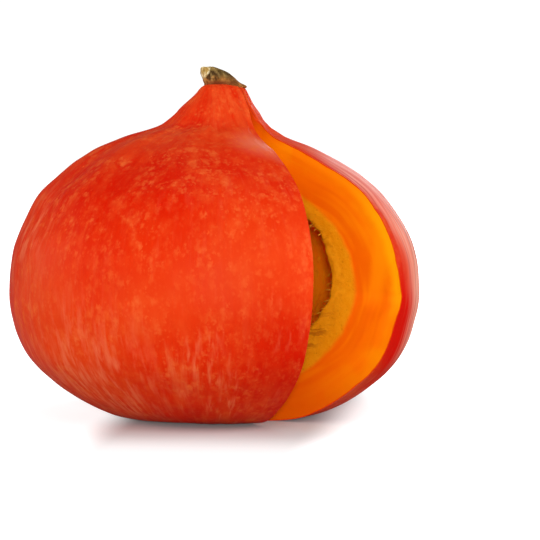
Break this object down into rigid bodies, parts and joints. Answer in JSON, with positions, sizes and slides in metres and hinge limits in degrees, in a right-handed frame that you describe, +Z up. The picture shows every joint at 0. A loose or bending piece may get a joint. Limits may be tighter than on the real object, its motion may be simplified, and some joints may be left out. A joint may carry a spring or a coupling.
{
  "type": "kabocha squash, red kuri form, with a wedge cut out",
  "caption": "Onion-shaped orange-red kabocha squash standing on its base, with a wedge cut out that shows yellow-orange flesh and an emptied seed cavity.",
  "frame": {"origin": "on the surface the squash stands on, under the middle of its box", "axes": "+Z up through the neck, -Y out of the cut wedge's mouth, +X to the right as one looks into the cut"},
  "size_m": [0.17, 0.1662, 0.1453],
  "materials": {
    "rind_and_flesh": "waxy semi-gloss rind, moist matt flesh on the cut",
    "stem_cork": "dry, ridged and matt"
  },
  "bodies": {
    "root": {"squash": "rind_and_flesh", "stem": "stem_cork"}
  },
  "joints": []
}
